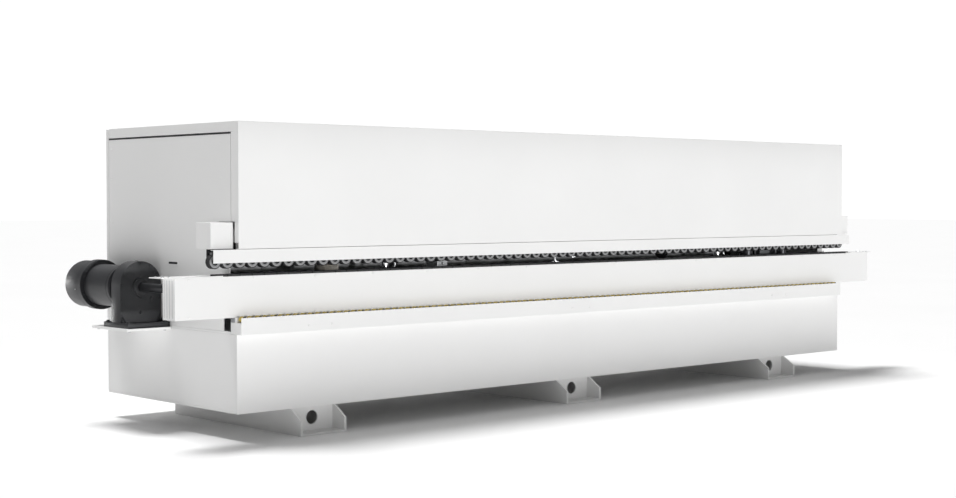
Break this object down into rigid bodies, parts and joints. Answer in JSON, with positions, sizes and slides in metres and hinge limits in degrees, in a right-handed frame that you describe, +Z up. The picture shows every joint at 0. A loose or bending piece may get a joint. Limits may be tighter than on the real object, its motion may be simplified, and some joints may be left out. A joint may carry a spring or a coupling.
{
  "type": "edge banding machine",
  "caption": "Long through-feed edge bander: white hood with hinged lid over pressure wheels, chain pad feed, side motor, front support rail, channel feet.",
  "frame": {"origin": "centre of the footprint of the bounding box, on the floor", "axes": "+X along the feed line from the outfeed end with the motor to the infeed end; -Y towards the operator and the support rail; +Z up"},
  "size_m": [6.389, 1.533, 1.718],
  "materials": {
    "paint_white": "smooth satin powder coat",
    "paint_grey": "satin",
    "paint_dark": "satin",
    "steel": "machined",
    "chrome_steel": "ground",
    "chain_steel": "oiled",
    "cast_grey": "rough cast",
    "motor_alu": "cast",
    "rubber_black": "matte",
    "pad_rubber": "ribbed",
    "roller_yellow": "moulded",
    "tray_plastic": "smooth",
    "plastic_red": "gloss",
    "plastic_black": "satin",
    "buff_cloth": "layered cloth"
  },
  "bodies": {
    "root": {"foot_left": "paint_white", "foot_middle": "paint_white", "foot_right": "paint_white", "base_front_panel": "paint_white", "base_end_plates": "paint_white", "base_bottom_plate": "paint_white", "base_top_plate": "paint_white", "base_bulkheads": "paint_white", "base_rear_panels": "paint_white", "feed_beam": "paint_grey", "feed_cover": "paint_white", "chain_pads": "pad_rubber", "drive_chain": "chain_steel", "end_plates": "paint_white", "motor_bracket": "paint_white", "gearbox_housing": "paint_dark", "motor_body": "paint_dark", "fan_cowl": "paint_dark", "unit_beam": "paint_grey", "lift_columns": "chrome_steel", "hood_end_left": "paint_white", "hood_end_right": "paint_white", "hood_rear_panel": "paint_white", "rail_sleeves": "paint_grey", "glue_pot": "cast_grey", "press_unit": "paint_grey", "trim_motors": "motor_alu", "scraper_unit": "motor_alu", "buffing_motor": "motor_alu", "bolts": "steel"},
    "hood_lid": {"lid_front_panel": "paint_white", "lid_top_panel": "paint_white"},
    "pressure_beam": {"pressure_beam": "paint_white", "beam_end_covers": "paint_white", "wheel_guard": "paint_white", "wheel_carrier": "paint_dark", "wheel_axles": "steel", "pressure_wheels": "rubber_black"},
    "outfeed_wheel": {"outfeed_wheel": "rubber_black"},
    "lift_screw_left": {"lift_screw_left": "steel"},
    "lift_screw_right": {"lift_screw_right": "steel"},
    "drive_shaft": {"drive_shaft": "steel"},
    "countershaft": {"countershaft": "steel"},
    "motor_rotor": {"motor_rotor": "steel"},
    "idler_wheel": {"idler_wheel": "steel"},
    "rail": {"support_rail": "paint_white", "rail_rollers": "roller_yellow", "rail_arms": "steel"},
    "rear_door_left": {"rear_door_left": "paint_white"},
    "rear_door_right": {"rear_door_right": "paint_white"},
    "main_switch": {"main_switch": "plastic_black"},
    "emergency_stop": {"emergency_stop": "plastic_red"},
    "tape_tray": {"tape_tray": "tray_plastic"},
    "glue_roller": {"glue_roller": "steel"},
    "press_roller": {"press_roller": "chrome_steel"},
    "end_trim": {"end_trim_motor": "motor_alu"},
    "saw_blade": {"saw_blade": "steel"},
    "trim_cutter_upper": {"trim_cutter_upper": "steel"},
    "trim_cutter_lower": {"trim_cutter_lower": "steel"},
    "buffing_wheel": {"buffing_wheel": "buff_cloth"}
  },
  "joints": [
    {"name": "lid_hinge", "type": "hinge", "parent": "root", "child": "hood_lid", "pos_m": [0, 0.6915, 1.702], "axis": [-1, 0, 0], "range_deg": [0, 50]},
    {"name": "beam_lift", "type": "slide", "parent": "root", "child": "pressure_beam", "axis": [0, 0, 1], "range_m": [-0.021, 0.031]},
    {"name": "outfeed_wheel_spin", "type": "hinge", "parent": "pressure_beam", "child": "outfeed_wheel", "pos_m": [-2.8575, -0.6415, 0.967], "axis": [0, 1, 0], "continuous": true},
    {"name": "lift_screw_left_turn", "type": "hinge", "parent": "root", "child": "lift_screw_left", "pos_m": [-1.4555, -0.4485, 1], "axis": [0, 0, 1], "range_deg": [-1513, 2233]},
    {"name": "lift_screw_right_turn", "type": "hinge", "parent": "root", "child": "lift_screw_right", "pos_m": [1.6445, -0.4485, 1], "axis": [0, 0, 1], "range_deg": [-1513, 2233]},
    {"name": "motor_spin", "type": "hinge", "parent": "root", "child": "motor_rotor", "pos_m": [-2.879, 0.3, 0.80387], "axis": [0, 1, 0], "continuous": true},
    {"name": "counter_spin", "type": "hinge", "parent": "root", "child": "countershaft", "pos_m": [-2.864, 0.13, 0.705], "axis": [0, 1, 0], "continuous": true},
    {"name": "drive_spin", "type": "hinge", "parent": "root", "child": "drive_shaft", "pos_m": [-2.864, 0, 0.805], "axis": [0, 1, 0], "continuous": true},
    {"name": "idler_spin", "type": "hinge", "parent": "root", "child": "idler_wheel", "pos_m": [2.896, -0.6, 0.805], "axis": [0, 1, 0], "continuous": true},
    {"name": "rail_slide", "type": "slide", "parent": "root", "child": "rail", "axis": [0, -1, 0], "range_m": [0, 0.4]},
    {"name": "rear_door_left_hinge", "type": "hinge", "parent": "root", "child": "rear_door_left", "pos_m": [-1.7305, 0.7055, 0.36], "axis": [0, 0, 1], "range_deg": [0, 110]},
    {"name": "rear_door_right_hinge", "type": "hinge", "parent": "root", "child": "rear_door_right", "pos_m": [1.7495, 0.7055, 0.36], "axis": [0, 0, -1], "range_deg": [0, 110]},
    {"name": "main_switch_turn", "type": "hinge", "parent": "root", "child": "main_switch", "pos_m": [2.7695, 0.0565, 1.3], "axis": [1, 0, 0], "range_deg": [0, 90]},
    {"name": "emergency_stop_press", "type": "slide", "parent": "root", "child": "emergency_stop", "axis": [-1, 0, 0], "range_m": [0, 0.005]},
    {"name": "tape_tray_spin", "type": "hinge", "parent": "root", "child": "tape_tray", "pos_m": [2.1695, -0.0635, 1.26], "axis": [0, 0, 1], "continuous": true},
    {"name": "glue_roller_spin", "type": "hinge", "parent": "root", "child": "glue_roller", "pos_m": [2.1695, -0.5735, 0.93], "axis": [0, 0, 1], "continuous": true},
    {"name": "press_roller_spin", "type": "hinge", "parent": "root", "child": "press_roller", "pos_m": [1.7695, -0.5575, 0.93], "axis": [0, 0, 1], "continuous": true},
    {"name": "end_trim_slide", "type": "slide", "parent": "root", "child": "end_trim", "axis": [1, 0, 0], "range_m": [-0.15, 0.15]},
    {"name": "saw_spin", "type": "hinge", "parent": "end_trim", "child": "saw_blade", "pos_m": [0.8615, -0.5335, 0.967], "axis": [1, 0, 0], "continuous": true},
    {"name": "trim_upper_spin", "type": "hinge", "parent": "root", "child": "trim_cutter_upper", "pos_m": [-0.0805, -0.5815, 0.93], "axis": [0, 0, 1], "continuous": true},
    {"name": "trim_lower_spin", "type": "hinge", "parent": "root", "child": "trim_cutter_lower", "pos_m": [-0.2305, -0.5815, 0.9], "axis": [0, 0, 1], "continuous": true},
    {"name": "buffing_spin", "type": "hinge", "parent": "root", "child": "buffing_wheel", "pos_m": [-2.0305, -0.5385, 0.93], "axis": [0, 0, 1], "continuous": true}
  ],
  "couplings": [
    {"joint": "lift_screw_left_turn", "follows": "beam_lift", "rad_per_m": 1256.6},
    {"joint": "lift_screw_right_turn", "follows": "beam_lift", "rad_per_m": 1256.6},
    {"joint": "counter_spin", "follows": "motor_spin", "ratio": -0.175},
    {"joint": "drive_spin", "follows": "motor_spin", "ratio": 0.030625},
    {"joint": "idler_spin", "follows": "motor_spin", "ratio": 0.030625}
  ]
}
